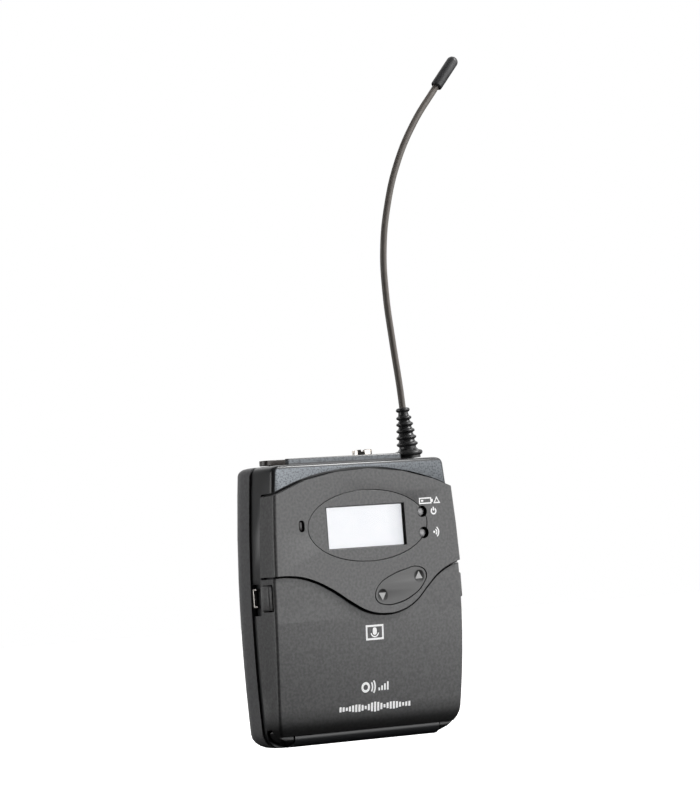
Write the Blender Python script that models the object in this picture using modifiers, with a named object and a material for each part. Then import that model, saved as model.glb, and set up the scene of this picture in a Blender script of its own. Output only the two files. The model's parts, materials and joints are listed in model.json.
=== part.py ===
"""A wireless bodypack transmitter: two-part housing, display panel, hinged battery cover,
rocker, buttons, mute slider, jack, belt clip and a flexible whip aerial.

Metres, +Z up. The pack stands upright on its floor at Z = 0, its front faces -Y, and the
origin is on the flat floor. All lengths below are written in millimetres times MM.
"""

import math

import bmesh
import bpy
from mathutils import Matrix, Vector

MM = 0.001
GAP = 0.3 * MM

# Limits that lie outside the whole part, for cutters
FAR = 60 * MM
ACROSS = (-FAR, FAR)
HIGH = (-10 * MM, 120 * MM)

# Housing envelope
WIDTH = 65.6 * MM
BARREL_DROP_BELOW = 1.6 * MM
BARREL_DROP_ABOVE = 2 * MM
BARREL_MIDDLE = 36 * MM
BARREL_REACH = 40 * MM
SHELF_TOP = 79.5 * MM
PLATEAU_TOP = 81.3 * MM
FRONT_Y = -12 * MM
BACK_Y = 12 * MM
BACK_CROWN = 1 * MM
FRONT_BEND_Z = 48 * MM
FRONT_BEND = 4.62 * MM
COVER_STEP = 1 * MM
FLOOR_SIDE_RADIUS = 4.4 * MM
COVER_SIDE_RADIUS = 7.5 * MM
FLOOR_FRONT_RADIUS = 5 * MM
COVER_FRONT_RADIUS = 7 * MM
FLOOR_BACK_RADIUS = 4 * MM
TOP_SIDE_RADIUS = 2 * MM
TOP_EDGE_RADIUS = 1 * MM
FRONT_EDGE_RADIUS = 0.9 * MM
BROW_EDGE_RADIUS = 1.4 * MM
BACK_EDGE_RADIUS = 5.1 * MM
BACK_EDGE_GROWTH = 0.021
FLOOR_LEVELS = [0, 0.3, 0.9, 1.8, 3.0, 4.4, 6.0, 7.5]
MIDDLE_LEVELS = [10, 13, 17, 23, 29, 35, 41, 48, 60, 72]
TOP_LEVELS = [2.0, 1.4, 0.9, 0.5, 0.2, 0]
EDGE_STEPS = 4

# Where the shells part
SEAM = (1.45 * MM, 0.1 * MM)
FLANGE = (-2.45 * MM, -5.4 * MM)
RIB_WIDTH = 1.9 * MM
SHELL_WALL = 1.5 * MM
PANEL_WALL = 1.9 * MM
COVER_WALL = 1.3 * MM
COVER_SIDE_WALL = 1.5 * MM
BROW_INSET = 0.5 * MM
FRAME_FRONT_INSET = 1.9 * MM
FRAME_SIDE_INSET = 2.1 * MM
FRAME_SIDE_STEP = 0.55 * MM
FRAME_CAVITY_HALF = 27.4 * MM
FLANGE_TOP_Z = 71.6 * MM
RECESS_INSET = 1.7 * MM
RECESS_BOTTOM_Z = 37.6 * MM
RECESS_TOP_Z = 46.5 * MM
SPLIT_GAP = 0.6 * MM
SPLIT_GAP_RIGHT = 0.8 * MM
SPLIT_GAP_RIGHT_X = (3, 15)
SCREW_PLACES = [(x, z) for z in (39.6 * MM, 74 * MM) for x in (-23.5 * MM, 23.5 * MM)]
DECK_BACK_Y = -7.4 * MM
FLOOR_WALL = 4.3 * MM

# The line between the display panel and the battery cover, left to right
SPLIT_POINTS = [
    (-34, 48.2), (-27.5, 48.2), (-21, 47.0), (-13.5, 43.7), (-7, 39.7), (-1.5, 36.9),
    (4.6, 35.8), (10.5, 36.5), (15.5, 38.9), (20, 42.9), (24.5, 46.5), (29, 48.6), (34, 49.8),
]
ARCH_POINTS = [
    (34, 69.7), (24.5, 73.3), (14, 75.9), (2, 77.2), (-9, 76.7), (-20, 74.8), (-34, 69.9),
]

# Battery cover hinge
HINGE_Y = -2.6 * MM
HINGE_Z = 2.6 * MM
BARREL_RADIUS = 2.55 * MM
LUG_RADIUS = 2.3 * MM
LUG_INNER_X = 25.7 * MM
PIN_RADIUS = 0.8 * MM
PIN_BORE = 1.1 * MM
COVER_LOW_EDGE = 3.3 * MM
FOOT_TOP_Z = 4.9 * MM

# Front features
BEZEL_CENTRE = (0.45 * MM, 61 * MM)
BEZEL_HALF = (20.8 * MM, 10.1 * MM)
WINDOW_X = (-13.8 * MM, 13.6 * MM)
WINDOW_Z = (54.75 * MM, 66.85 * MM)
LAMP_PLACES = {
    "status_lamp_power": (19.9 * MM, 64 * MM),
    "status_lamp_signal": (20 * MM, 57.9 * MM),
}
LAMP_RADIUS = 1.25 * MM
LAMP_HOLE = 1.65 * MM
LAMP_FRONT = -11.2 * MM
IR_PLACE = (-22.5 * MM, 61.9 * MM)
IR_HALF = (0.7 * MM, 1.4 * MM)
ROCKER_CENTRE = (10.4 * MM, 43.3 * MM)
ROCKER_POINTS = [
    (1.4, 41.2), (3.2, 44.1), (7.0, 46.1), (12.0, 47.6), (17.0, 48.2), (19.5, 46.4),
    (18.0, 43.0), (14.0, 40.2), (9.0, 38.5), (4.5, 38.3), (1.9, 39.4),
]
ROCKER_ARROWS = ((3.8 * MM, 40.9 * MM), (17.1 * MM, 45.6 * MM))
COVER_BUTTONS = {"set_button": (-13.5 * MM, 39.6 * MM), "power_button": (-21.5 * MM, 41.2 * MM)}
BUTTON_RADIUS = 2.3 * MM
SWITCH_HALF = 1.6 * MM
SWITCH_BACK = -5.5 * MM
COVER_SWITCH_FRONT = -6.6 * MM
ROCKER_SWITCH_FRONT = -7.8 * MM
CATCH_Y = (-9.75 * MM, -5.6 * MM)
CATCH_Z = (38.8 * MM, 45.8 * MM)
CATCH_PROUD = 1.1 * MM
CATCH_DEPTH = 2.8 * MM

# Battery
CELL_RADIUS = 7.25 * MM
CELL_Y = 2.1 * MM
CELL_Z = {"lower": 12.65 * MM, "upper": 27.8 * MM}
CELL_ENDS = (24.2 * MM, 25.4 * MM)
NUB_LENGTH = 1 * MM
NUB_RADIUS = 2.6 * MM
CONTACT_INNER_X = 25.7 * MM
CONTACT_OUTER_X = 26.1 * MM
CONTACT_HALF_Z = 5 * MM

# Top fittings
JACK_X = 8.8 * MM
TOP_Y = 0.0 * MM
JACK_BORE_RADIUS = 1.75 * MM
NECK_RADIUS = 2.05 * MM
RING_BORE = 2.35 * MM
RING_RADIUS = 2.9 * MM
RING_HEIGHT = 1.45 * MM
RING_NOTCHES = 6
PLATEAU_X = (-22.4 * MM, 17.0 * MM)
PLATEAU_RIM = 0.5 * MM
PLATEAU_Y = (-7.8 * MM, 9.4 * MM)
SLIDER_X = (-26.6 * MM, -15.9 * MM)
SLIDER_TOP = 81.3 * MM
SLIDER_HALF_Y = 1.9 * MM
SLIDER_BAY = (-15.5 * MM, -6.0 * MM)

# Aerial
AERIAL_X = 25.4 * MM
AERIAL_BASE_Z = 80.6 * MM
BOOT_LEAN = math.radians(-4)
BOOT_PROFILE = [
    (3.4, -0.9), (3.4, 0.0), (4.15, 0.0), (4.15, 1.3), (2.9, 1.6), (2.45, 2.2),
    (3.1, 2.5), (3.1, 3.4), (2.3, 3.8), (2.25, 4.4),
    (2.9, 4.6), (2.9, 5.4), (2.1, 5.8), (2.05, 6.3),
    (2.68, 6.5), (2.68, 7.3), (1.9, 7.7), (1.85, 8.3),
    (2.45, 8.5), (2.45, 9.2), (1.7, 9.6), (1.65, 10.2),
    (2.2, 10.4), (2.2, 11.1), (1.5, 11.5), (1.45, 12.2),
    (2.1, 12.5), (2.1, 13.8), (1.8, 14.1),
]
WHIP_RADIUS = 1 * MM
WHIP_POINTS = [
    (24.42, 95.1), (24.1, 100.5), (22.6, 114), (21.5, 128), (21.8, 140.5), (24.4, 153.5),
    (29.3, 166.5), (36.3, 178), (45.1, 188.4),
]
TIP_START = (45.35 * MM, 188.7 * MM)
TIP_LENGTH = 11.6 * MM
TIP_RADIUS = 1.7 * MM
TIP_LEAN = math.radians(42)

# Belt clip
CLIP_RADIUS = 1.1 * MM
CLIP_AXIS = (13.7 * MM, 68 * MM)
CLIP_Y = 19 * MM


def clear_scene():
    for item in list(bpy.data.objects):
        bpy.data.objects.remove(item, do_unlink=True)


def new_collection(name):
    made = bpy.data.collections.new(name)
    bpy.context.scene.collection.children.link(made)
    return made


clear_scene()
PARTS = new_collection("bodypack_transmitter")
CUTTERS = new_collection("cutters")
CUTTERS.hide_render = True


def material(name, colour, roughness, metallic=0.0):
    made = bpy.data.materials.new(name)
    made.use_nodes = True
    shader = made.node_tree.nodes["Principled BSDF"]
    shader.inputs["Base Color"].default_value = (*colour, 1)
    shader.inputs["Roughness"].default_value = roughness
    shader.inputs["Metallic"].default_value = metallic
    return made


MATTE_BLACK = ((0.12, 0.12, 0.12), 0.55)
FRAME_PAINT = ((0.22, 0.24, 0.26), 0.4)
STEEL = ((0.6, 0.6, 0.62), 0.3, 1.0)
NICKEL = ((0.75, 0.73, 0.7), 0.2, 1.0)
BRASS = ((0.7, 0.55, 0.25), 0.35, 1.0)
BOARD_GREEN = ((0.02, 0.16, 0.07), 0.5)
DARK_RUBBER = ((0.03, 0.03, 0.03), 0.45)
BLACK_PLASTIC = ((0.04, 0.04, 0.04), 0.5)
CLEAR = ((0.8, 0.85, 0.85), 0.05)
LCD_WHITE = ((0.85, 0.88, 0.86), 0.3)
CELL_WRAP = ((0.05, 0.2, 0.35), 0.35)


def finish(obj, look):
    """Makes an object a part: its own material, smooth where it is round."""
    obj.data.materials.clear()
    obj.data.materials.append(material(obj.name, *look))
    if obj.type == "MESH":
        obj.data.shade_smooth()
        obj.data.set_sharp_from_angle(angle=math.radians(35))
    return obj


def add_mesh(name, shape, collection=None):
    """A mesh object from a bmesh, which it frees."""
    bmesh.ops.recalc_face_normals(shape, faces=shape.faces)
    mesh = bpy.data.meshes.new(name)
    shape.to_mesh(mesh)
    shape.free()
    obj = bpy.data.objects.new(name, mesh)
    hidden = collection is None
    (CUTTERS if hidden else collection).objects.link(obj)
    obj.hide_render = hidden
    if hidden:
        obj.display_type = "WIRE"
    return obj


def box(name, x, y, z, collection=None, edge=0.0):
    """A box between pairs of limits, with bevelled edges where edge is given."""
    shape = bmesh.new()
    bmesh.ops.create_cube(shape, size=1)
    size = Vector((x[1] - x[0], y[1] - y[0], z[1] - z[0]))
    middle = Vector((x[0] + x[1], y[0] + y[1], z[0] + z[1])) / 2
    bmesh.ops.scale(shape, vec=size, verts=shape.verts)
    bmesh.ops.translate(shape, vec=middle, verts=shape.verts)
    if edge:
        edges = shape.edges[:]
        bmesh.ops.bevel(shape, geom=edges, offset=edge, segments=2, affect="EDGES", profile=0.5)
    return add_mesh(name, shape, collection)


def rod(name, start, end, radius, collection=None, sides=24):
    """A cylinder from one point to another."""
    shape = bmesh.new()
    along = Vector(end) - Vector(start)
    bmesh.ops.create_cone(
        shape, cap_ends=True, segments=sides, radius1=radius, radius2=radius, depth=along.length,
    )
    turn = Vector((0, 0, 1)).rotation_difference(along.normalized()).to_matrix().to_4x4()
    place = Matrix.Translation((Vector(start) + Vector(end)) / 2) @ turn
    bmesh.ops.transform(shape, matrix=place, verts=shape.verts)
    return add_mesh(name, shape, collection)


def to_mesh_object(curve_object, collection=None):
    """Turns a curve object into a mesh object with welded caps."""
    bpy.context.view_layer.update()
    evaluated = curve_object.evaluated_get(bpy.context.evaluated_depsgraph_get())
    name, place = curve_object.name, curve_object.matrix_world.copy()
    shape = bmesh.new()
    shape.from_mesh(bpy.data.meshes.new_from_object(evaluated))
    bmesh.ops.remove_doubles(shape, verts=shape.verts, dist=0.00001)
    bmesh.ops.transform(shape, matrix=place, verts=shape.verts)
    bpy.data.objects.remove(curve_object, do_unlink=True)
    return add_mesh(name, shape, collection)


def plate(name, points, y, collection=None, smooth=None, steps=6):
    """An outline in X and Z (millimetres) extruded between two Y values. Where smooth is
    given, the first that many points are joined by a smooth curve, the rest by lines."""
    data = bpy.data.curves.new(name, "CURVE")
    data.dimensions = "2D"
    data.fill_mode = "BOTH"
    data.extrude = (y[1] - y[0]) / 2
    data.resolution_u = steps
    spline = data.splines.new("BEZIER")
    spline.bezier_points.add(len(points) - 1)
    spline.use_cyclic_u = True
    smooth = 0 if smooth is None else smooth
    for index, (point, (x, z)) in enumerate(zip(spline.bezier_points, points)):
        point.co = (x * MM, z * MM, 0)
        kind = "AUTO" if 0 < index < smooth - 1 or smooth >= len(points) else "VECTOR"
        point.handle_left_type = point.handle_right_type = kind
    obj = bpy.data.objects.new(name, data)
    CUTTERS.objects.link(obj)
    middle = Matrix.Translation((0, (y[0] + y[1]) / 2, 0))
    obj.matrix_world = middle @ Matrix.Rotation(math.pi / 2, 4, "X")
    return to_mesh_object(obj, collection)


def turned(name, profile, place, collection=None, sides=24, bore=0.0):
    """A profile of (radius, height) pairs, bottom to top, turned about Z, solid or bored."""
    mesh = bpy.data.meshes.new(name)
    points = [(bore, 0, profile[-1][1])]
    points += [(radius, 0, height) for radius, height in reversed(profile)]
    points += [(bore, 0, profile[0][1])]
    edges = [(i, i + 1) for i in range(len(points) - 1)]
    if bore:
        edges.append((len(points) - 1, 0))
    mesh.from_pydata(points, edges, [])
    obj = bpy.data.objects.new(name, mesh)
    CUTTERS.objects.link(obj)
    screw = obj.modifiers.new("turn", "SCREW")
    screw.steps = screw.render_steps = sides
    screw.use_merge_vertices = True
    screw.merge_threshold = 0.00001
    obj.matrix_world = place
    return to_mesh_object(obj, collection)


def combine(obj, other, operation):
    step = obj.modifiers.new(f"{operation.lower()}_{other.name}", "BOOLEAN")
    step.operation = operation
    step.solver = "MANIFOLD"
    step.object = other
    return obj


def cut(obj, *others):
    for other in others:
        combine(obj, other, "DIFFERENCE")
    return obj


def join(obj, *others):
    for other in others:
        combine(obj, other, "UNION")
    return obj


def settle(obj):
    """Applies an object's modifiers and merges points closer than a micrometre."""
    bpy.context.view_layer.update()
    evaluated = obj.evaluated_get(bpy.context.evaluated_depsgraph_get())
    shape = bmesh.new()
    shape.from_mesh(bpy.data.meshes.new_from_object(evaluated))
    bmesh.ops.remove_doubles(shape, verts=shape.verts, dist=0.000001)
    bmesh.ops.dissolve_degenerate(shape, dist=0.000001, edges=shape.edges)
    shape.to_mesh(obj.data)
    shape.free()
    obj.modifiers.clear()
    return obj


def half_width(z):
    """Half the housing's width: it is widest below the middle and draws in both ways."""
    drop = BARREL_DROP_ABOVE if z > BARREL_MIDDLE else BARREL_DROP_BELOW
    return WIDTH / 2 - drop * ((z - BARREL_MIDDLE) / BARREL_REACH) ** 2


def front_y(z):
    """The face of the battery cover: it leans back, more and more, below its bend."""
    face = FRONT_Y + COVER_STEP
    return face + FRONT_BEND * (max(FRONT_BEND_Z - z, 0) / FRONT_BEND_Z) ** 2


def rounding(distance, radius):
    """How far a rounded edge has drawn in, this far from the face it runs into."""
    if distance >= radius:
        return 0.0
    return radius - math.sqrt(radius**2 - (radius - max(distance, 0)) ** 2)


def section(z, form):
    """The envelope's outline at one height, drawn in by the form's insets."""
    above, below = z - form["floor"], form["ceiling"] - z
    half = half_width(z) - form["side"] - rounding(above, form["floor_radius"])
    half -= rounding(below, TOP_SIDE_RADIUS)
    near = form["front"] + (FRONT_Y if form["flat"] else front_y(z))
    near += rounding(above, form["floor_front"]) + rounding(below, TOP_EDGE_RADIUS)
    far = BACK_Y - form["back"] - rounding(above, FLOOR_BACK_RADIUS)
    far -= rounding(below, TOP_SIDE_RADIUS)
    corner = far - BACK_CROWN
    edge = form["edge"]
    back_edge = BACK_EDGE_RADIUS + BACK_EDGE_GROWTH * z
    points = []
    for step in range(EDGE_STEPS + 1):
        turn = math.radians(270 + 90 * step / EDGE_STEPS)
        points.append((half - edge * (1 - math.cos(turn)), near + edge * (1 + math.sin(turn))))
    for step in range(6):
        turn = math.radians(18 * step)
        points.append((
            half - back_edge * (1 - math.cos(turn)),
            corner - back_edge * (1 - math.sin(turn)),
        ))
    flat = half - back_edge
    points += [(flat * share, far - BACK_CROWN * share**2) for share in (0.75, 0.5, 0.25)]
    left = [(-x, y) for x, y in reversed(points)]
    return [(x, y, z) for x, y in points + [(0, far)] + left]


def envelope(name, side=0.0, front=0.0, back=0.0, collection=None, **changes):
    """The housing's form as one closed loft through its outlines."""
    form = {"side": side, "front": front, "back": back, "floor": 0.0, "ceiling": SHELF_TOP}
    form |= {"flat": False, "edge": FRONT_EDGE_RADIUS}
    form |= {"floor_radius": FLOOR_SIDE_RADIUS, "floor_front": FLOOR_FRONT_RADIUS}
    form |= changes
    levels = [form["floor"] + level * MM for level in FLOOR_LEVELS]
    levels += [level * MM for level in MIDDLE_LEVELS if level * MM > form["floor"] + 8 * MM]
    levels += [form["ceiling"] - level * MM for level in TOP_LEVELS]
    shape = bmesh.new()
    rings = [[shape.verts.new(point) for point in section(z, form)] for z in levels]
    for low, high in zip(rings, rings[1:]):
        for i in range(len(low)):
            j = (i + 1) % len(low)
            shape.faces.new((low[i], low[j], high[j], high[i]))
    shape.faces.new(list(reversed(rings[0])))
    shape.faces.new(rings[-1])
    bmesh.ops.triangulate(shape, faces=shape.faces)
    return add_mesh(name, shape, collection)


def leaning_block(name, line, offset, behind):
    """Everything in front of a leaning plane, or behind it, moved by an offset. The line is
    the plane's depth at the floor and at the shelf."""
    lean = math.atan2(line[1] - line[0], SHELF_TOP)
    block = box(name, ACROSS, (0, FAR) if behind else (-FAR, 0), HIGH)
    place = Matrix.Translation((0, line[0] + offset, 0))
    block.matrix_world = place @ Matrix.Rotation(-lean, 4, "X")
    return block


def mirrored_pairs(function):
    for side, word in ((-1, "left"), (1, "right")):
        function(side, word)


def span(side, inner, outer):
    """X limits on the left (side -1) or right, from distances off the middle."""
    return (inner, outer) if side > 0 else (-outer, -inner)


def plateau(name):
    """The raised part of the top, with a rounded rim, cut away where the slider runs."""
    shape = bmesh.new()
    bmesh.ops.create_cube(shape, size=1)
    low = 70 * MM
    for vert in shape.verts:
        vert.co.x = (PLATEAU_X[0] - 2 * PLATEAU_RIM, PLATEAU_X[1])[vert.co.x > 0]
        vert.co.y = PLATEAU_Y[vert.co.y > 0]
        vert.co.z = (low, PLATEAU_TOP)[vert.co.z > 0]
    rim = [edge for edge in shape.edges if all(vert.co.z > low for vert in edge.verts)]
    bmesh.ops.bevel(shape, geom=rim, offset=PLATEAU_RIM, segments=2, affect="EDGES", profile=0.5)
    raised = add_mesh(name, shape)
    bay_z = (SHELF_TOP - 1 * MM, PLATEAU_TOP + 1 * MM)
    bay = box(f"{name}_bay", (-FAR, SLIDER_BAY[0]), (SLIDER_BAY[1], FAR), bay_z)
    end = box(f"{name}_end", (-FAR, PLATEAU_X[0]), ACROSS, HIGH)
    return settle(cut(raised, bay, end))


def top_ways(word):
    """The holes for the jack, the aerial and the slider's stem."""
    way = (70 * MM, 90 * MM)
    slot = box(f"slot_way_{word}", (-25.9 * MM, -18.2 * MM), (-0.9 * MM, 0.9 * MM), way)
    holes = [slot]
    for place, x, radius in (("jack", JACK_X, 2.9 * MM), ("aerial", AERIAL_X, 2.3 * MM)):
        holes.append(rod(f"{place}_way_{word}", (x, TOP_Y, way[0]), (x, TOP_Y, way[1]), radius))
    return holes


def make_back_shell():
    shell = envelope("back_shell", collection=PARTS)
    join(shell, plateau("shell_plateau"))
    hollow = envelope(
        "back_hollow", SHELL_WALL, -6 * MM, SHELL_WALL,
        floor=1.6 * MM, ceiling=SHELF_TOP - 1.6 * MM,
    )
    cut(shell, leaning_block("seam_front_back_shell", SEAM, GAP / 2, False), hollow)
    for number, (x, z) in enumerate(SCREW_PLACES, 1):
        join(shell, rod(f"boss_{number}", (x, 3.2 * MM, z), (x, 11 * MM, z), 2.6 * MM))
        cut(shell, rod(f"screw_hole_{number}", (x, 2 * MM, z), (x, 14 * MM, z), 1.25 * MM, sides=16))
        cut(shell, rod(f"head_hole_{number}", (x, 9.6 * MM, z), (x, 14 * MM, z), 2 * MM, sides=16))
    for side in (-1, 1):
        lug = rod(
            f"clip_lug_{side}", (side * 5.4 * MM, *CLIP_AXIS), (side * 10.4 * MM, *CLIP_AXIS), 2.6 * MM,
        )
        join(shell, lug)
    ends = ((-16 * MM, *CLIP_AXIS), (16 * MM, *CLIP_AXIS))
    cut(shell, rod("clip_bore", *ends, CLIP_RADIUS + GAP, sides=16))
    pocket = box("type_plate_pocket", (-9.8 * MM, 9.8 * MM), (11.4 * MM, 14 * MM), (25 * MM, 49 * MM))
    cut(shell, pocket)
    cut(shell, *top_ways("back"))
    return finish(settle(shell), MATTE_BLACK)


def side_trim(name, inset, line, offset, z):
    """What lies outside the inset sides, in front of a leaning plane, between two heights."""
    trim = box(name, ACROSS, ACROSS, z)
    core = envelope(
        f"{name}_core", inset, -4 * MM, -2 * MM, floor=-2 * MM, ceiling=SHELF_TOP + 2 * MM,
    )
    return cut(trim, core, leaning_block(f"{name}_limit", line, offset, True))


def make_chassis_frame():
    frame = envelope(
        "chassis_frame", FRAME_SIDE_STEP, BROW_INSET, collection=PARTS, edge=BROW_EDGE_RADIUS,
    )
    join(frame, plateau("frame_plateau"))
    below_arch = [(x, z + SPLIT_GAP / MM) for x, z in ARCH_POINTS] + [(-40, -5), (40, -5)]
    bed = plate("bed", below_arch, (-20 * MM, 4 * MM), smooth=len(ARCH_POINTS))
    cut(bed, envelope("bed_core", -8 * MM, FRAME_FRONT_INSET, -8 * MM, floor=-8 * MM))
    cavity = (-FRAME_CAVITY_HALF, FRAME_CAVITY_HALF)
    mouth = (0.1 * MM - FRAME_CAVITY_HALF, FRAME_CAVITY_HALF - 0.1 * MM)
    rib = GAP - RIB_WIDTH
    cut(
        frame, bed,
        side_trim("cover_side_way", FRAME_SIDE_INSET, SEAM, rib, (FOOT_TOP_Z, RECESS_BOTTOM_Z)),
        side_trim("recess_way", RECESS_INSET, SEAM, FAR, (RECESS_BOTTOM_Z, RECESS_TOP_Z)),
        side_trim(
            "flange_way", FRAME_SIDE_INSET + 0.1 * MM, FLANGE, GAP,
            (RECESS_TOP_Z - 0.2 * MM, FLANGE_TOP_Z),
        ),
        leaning_block("seam_back_frame", SEAM, -GAP / 2, True),
        box("frame_cavity", cavity, (DECK_BACK_Y, FAR), (FLOOR_WALL, SHELF_TOP - 1.6 * MM)),
        box("battery_mouth", mouth, (-FAR, 0), (FLOOR_WALL + 0.2 * MM, 35.2 * MM)),
    )
    cut(frame, box("display_way", (-17.5 * MM, 17.5 * MM), (-FAR, 0), (52 * MM, 70 * MM)))
    cut(frame, box("lamp_way", (18.2 * MM, 21.8 * MM), (-FAR, -5 * MM), (55.8 * MM, 66 * MM)))
    cut(frame, box("ir_way", (-24.3 * MM, -20.7 * MM), (-FAR, -5 * MM), (59.6 * MM, 64.2 * MM)))
    cut(frame, box("rocker_way", (1.5 * MM, 20 * MM), (-FAR, -5 * MM), (38.4 * MM, 48.4 * MM)))
    for name, (x, z) in COVER_BUTTONS.items():
        cut(frame, rod(f"{name}_way", (x, -12 * MM, z), (x, -7 * MM, z), BUTTON_RADIUS + GAP))
    sweep_x = (-LUG_INNER_X + 0.3 * MM, LUG_INNER_X - 0.3 * MM)
    cut(frame, box("cover_sweep", sweep_x, (-FAR, HINGE_Y), (-FAR, 4.4 * MM)))
    barrel_end = LUG_INNER_X - 0.4 * MM
    hinge = HINGE_Y, HINGE_Z
    join(frame, rod("hinge_barrel", (-barrel_end, *hinge), (barrel_end, *hinge), BARREL_RADIUS, sides=32))
    for side in (-1, 1):
        x = span(side, 18.5 * MM, 30 * MM)
        cut(frame, rod(f"frame_bore_{side}", (x[0], *hinge), (x[1], *hinge), PIN_BORE, sides=16))
        sweep = span(side, LUG_INNER_X - 0.4 * MM, 32 * MM)
        cut(frame, box(f"lug_sweep_{side}", sweep, (-FAR, 0), (-FAR, FOOT_TOP_Z + 0.2 * MM)))
        cut(frame, box(
            f"catch_pocket_{side}", span(side, 28.6 * MM, 40 * MM), (-FAR, CATCH_Y[1] + 0.5 * MM),
            (CATCH_Z[0] - 0.5 * MM, CATCH_Z[1] + 0.4 * MM),
        ))
    cut(frame, *top_ways("frame"))
    return finish(settle(frame), FRAME_PAINT)


def scaled_outline(points, centre, grow):
    """Moves each point of an outline away from a centre by a distance in millimetres."""
    moved = []
    for x, z in points:
        away = Vector((x - centre[0] / MM, z - centre[1] / MM))
        moved.append((x + away.normalized().x * grow, z + away.normalized().y * grow))
    return moved


def ellipse(grow=0.0, steps=48):
    """The bezel's outline in millimetres."""
    points = []
    for step in range(steps):
        turn = 2 * math.pi * step / steps
        points.append((
            (BEZEL_CENTRE[0] + (BEZEL_HALF[0] + grow) * math.cos(turn)) / MM,
            (BEZEL_CENTRE[1] + (BEZEL_HALF[1] + grow) * math.sin(turn)) / MM,
        ))
    return points


def make_display_panel():
    panel = envelope("display_panel", collection=PARTS, flat=True)
    outline = SPLIT_POINTS + ARCH_POINTS
    field = plate("panel_field", outline, (-20 * MM, 0), smooth=len(SPLIT_POINTS))
    combine(panel, field, "INTERSECT")
    cut(
        panel,
        leaning_block("flange_edge", FLANGE, 0, True),
        envelope("panel_hollow", 1.5 * MM, PANEL_WALL, flat=True),
        plate("bezel_recess", ellipse(0.2 * MM), (-20 * MM, FRONT_Y + 1.2 * MM), steps=1),
        box("window_way", WINDOW_X, (-20 * MM, 0), WINDOW_Z),
    )
    through = (-14 * MM, -8 * MM)
    for name, (x, z) in LAMP_PLACES.items():
        cut(panel, rod(f"{name}_way", (x, through[0], z), (x, through[1], z), LAMP_HOLE, sides=32))
    x, z = IR_PLACE
    for word, rise in (("low", -0.7 * MM), ("high", 0.7 * MM)):
        start, end = (x, through[0], z + rise), (x, through[1], z + rise)
        cut(panel, rod(f"ir_{word}", start, end, 1 * MM, sides=16))
    cut(panel, box("ir_middle", (x - 1 * MM, x + 1 * MM), through, (z - 0.7 * MM, z + 0.7 * MM)))
    hole = scaled_outline(ROCKER_POINTS, ROCKER_CENTRE, 0.35)
    cut(panel, plate("rocker_hole", hole, (-20 * MM, -8 * MM), smooth=len(hole), steps=4))
    return finish(settle(panel), MATTE_BLACK)


def make_display():
    bezel_y = (FRONT_Y + 0.05 * MM, FRONT_Y + 0.85 * MM)
    bezel = plate("display_bezel", ellipse(), bezel_y, PARTS, steps=1)
    cut(bezel, box("bezel_window", WINDOW_X, (-20 * MM, 0), WINDOW_Z))
    for name, (x, z) in LAMP_PLACES.items():
        cut(bezel, rod(f"{name}_notch", (x, -14 * MM, z), (x, -8 * MM, z), LAMP_HOLE, sides=32))
    finish(settle(bezel), MATTE_BLACK)
    inner_x = (WINDOW_X[0] + GAP, WINDOW_X[1] - GAP)
    inner_z = (WINDOW_Z[0] + GAP, WINDOW_Z[1] - GAP)
    finish(box("display_window", inner_x, (-11.5 * MM, -10.7 * MM), inner_z, PARTS), CLEAR)
    module_x, module_z = (-16.5 * MM, 16.5 * MM), (53 * MM, 69 * MM)
    finish(box("lcd_module", module_x, (-9.8 * MM, -8.6 * MM), module_z, PARTS), LCD_WHITE)
    light_x, light_z = (-16 * MM, 16 * MM), (53.5 * MM, 68.5 * MM)
    finish(box("lcd_backlight", light_x, (-8.2 * MM, -7 * MM), light_z, PARTS), CLEAR)
    for name, (x, z) in LAMP_PLACES.items():
        finish(rod(name, (x, LAMP_FRONT, z), (x, -7.2 * MM, z), LAMP_RADIUS, PARTS, 20), CLEAR)
    ir_x = (IR_PLACE[0] - IR_HALF[0], IR_PLACE[0] + IR_HALF[0])
    ir_z = (IR_PLACE[1] - IR_HALF[1], IR_PLACE[1] + IR_HALF[1])
    finish(box("ir_lens", ir_x, (-11.5 * MM, -7.2 * MM), ir_z, PARTS, edge=0.3 * MM), BLACK_PLASTIC)


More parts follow.
